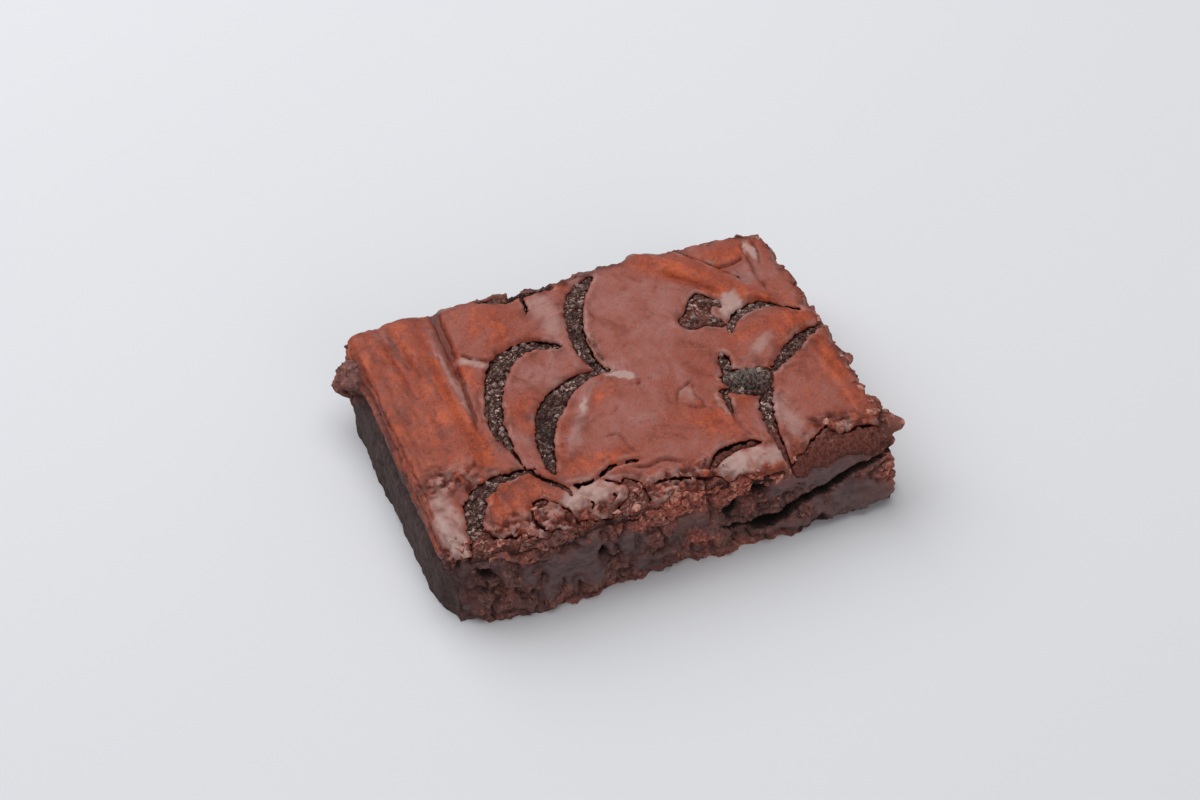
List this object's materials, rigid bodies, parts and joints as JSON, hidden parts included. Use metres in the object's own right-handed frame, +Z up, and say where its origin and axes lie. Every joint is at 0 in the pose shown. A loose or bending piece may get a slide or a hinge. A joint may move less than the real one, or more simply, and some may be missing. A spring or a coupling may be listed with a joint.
{
  "type": "chocolate brownie",
  "caption": "Slice of chocolate brownie: a low slab with a domed, fissured baked crust, crumbly cut sides and a flat base.",
  "frame": {"origin": "middle of the flat base", "axes": "+X along the long cut side, with the end that baked against the pan at -X, +Y towards the back, +Z up"},
  "size_m": [0.0998, 0.0705, 0.0209],
  "materials": {
    "crust": "thin baked crust, red-brown, satin with a pale bloom on the tops of its domes",
    "crumb": "dark moist crumb, dull and porous, smeared smooth in places by the knife"
  },
  "bodies": {
    "root": {"brownie": "crust"}
  },
  "joints": []
}
